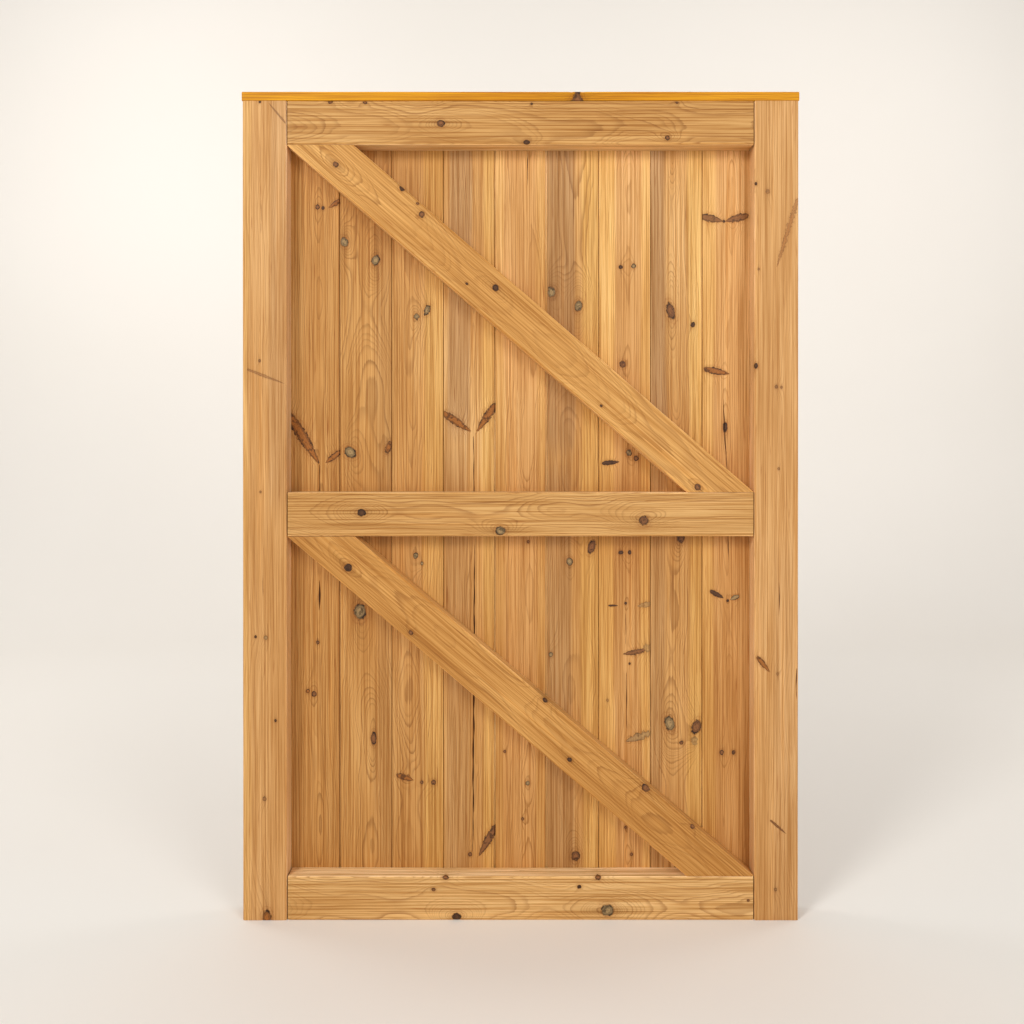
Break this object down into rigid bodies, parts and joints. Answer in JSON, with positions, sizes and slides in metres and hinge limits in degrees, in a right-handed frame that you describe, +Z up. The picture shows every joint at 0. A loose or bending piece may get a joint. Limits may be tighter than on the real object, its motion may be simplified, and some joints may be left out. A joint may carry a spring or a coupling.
{
  "type": "garden gate",
  "caption": "Framed, ledged and braced timber gate leaf with tongue-and-groove boards on its front and a weather capping, to be hung by its hinge stile.",
  "frame": {"origin": "middle of the leaf's foot, on the surface that it stands on", "axes": "+Z up, +X along the leaf towards the hinge stile, +Y out of the boarded front face; the braced back looks along -Y"},
  "size_m": [1.203, 0.07, 1.79],
  "materials": {
    "stile_timber": "planed softwood, honey-brown, satin",
    "rail_timber": "planed softwood, honey-brown, satin",
    "brace_timber": "planed softwood, honey-brown, satin",
    "capping_timber": "planed softwood, amber, satin",
    "board_timber": "planed knotty softwood, tan to amber, satin",
    "peg_timber": "end grain, matt",
    "nail_metal": "galvanised, dull",
    "screw_metal": "zinc plated, satin"
  },
  "bodies": {
    "root": {"latch_stile": "stile_timber", "hinge_stile": "stile_timber", "top_rail": "rail_timber", "middle_rail": "rail_timber", "bottom_rail": "rail_timber", "upper_brace": "brace_timber", "lower_brace": "brace_timber", "top_capping": "capping_timber", "board_1": "board_timber", "board_2": "board_timber", "board_3": "board_timber", "board_4": "board_timber", "board_5": "board_timber", "board_6": "board_timber", "board_7": "board_timber", "board_8": "board_timber", "board_9": "board_timber", "nails_top_rail": "nail_metal", "nails_middle_rail": "nail_metal", "nails_bottom_rail": "nail_metal", "nails_upper_brace": "nail_metal", "nails_lower_brace": "nail_metal", "tenon_pegs": "peg_timber", "capping_screws": "screw_metal"}
  },
  "joints": []
}
